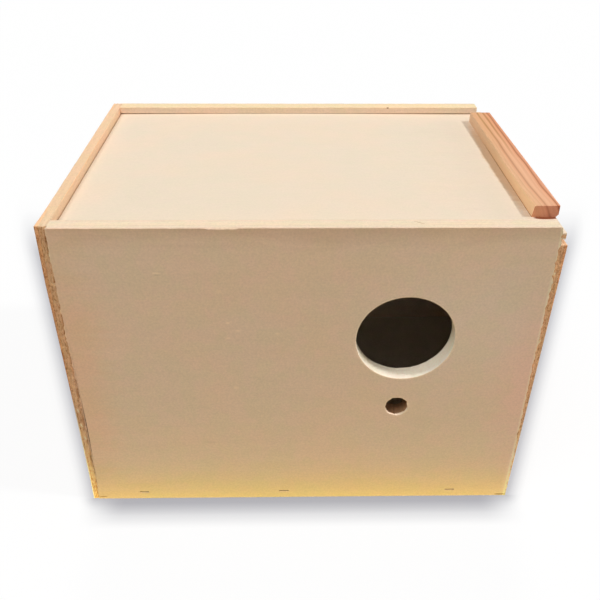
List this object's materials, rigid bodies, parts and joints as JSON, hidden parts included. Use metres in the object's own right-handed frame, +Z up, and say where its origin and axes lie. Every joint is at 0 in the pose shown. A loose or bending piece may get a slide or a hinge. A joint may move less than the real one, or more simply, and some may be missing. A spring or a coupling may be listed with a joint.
{
  "type": "parakeet nest box",
  "caption": "Plywood nest box for parakeets, with a round entry hole, a perch hole under it and a lid that slides out to the side in grooves.",
  "frame": {"origin": "under the middle of the box, on the surface that it stands on", "axes": "+Z up, the front with the entry hole faces -Y, and the lid slides out along +X"},
  "size_m": [0.252, 0.1888, 0.1804],
  "materials": {
    "panel_plywood": "bare birch-faced plywood, sanded, matt",
    "side_plywood": "bare light tropical plywood with a rough sawn edge",
    "floor_plywood": "bare birch-faced plywood with a routed hollow",
    "lid_plywood": "bare pale plywood, sanded, matt",
    "softwood": "bare planed softwood with dark growth rings",
    "staple_steel": "galvanised staple wire, dull"
  },
  "bodies": {
    "box": {"front_panel": "panel_plywood", "back_panel": "panel_plywood", "left_side_panel": "side_plywood", "right_side_panel": "side_plywood", "floor_panel": "floor_plywood", "front_floor_staples": "staple_steel", "back_floor_staples": "staple_steel", "left_floor_staples": "staple_steel", "right_floor_staples": "staple_steel", "front_left_staples": "staple_steel", "front_right_staples": "staple_steel", "back_left_staples": "staple_steel", "back_right_staples": "staple_steel"},
    "lid": {"lid": "lid_plywood", "lid_handle": "softwood", "handle_staples": "staple_steel"}
  },
  "joints": [
    {"name": "lid_slide", "type": "slide", "parent": "box", "child": "lid", "axis": [1, 0, 0], "range_m": [0, 0.252]}
  ]
}
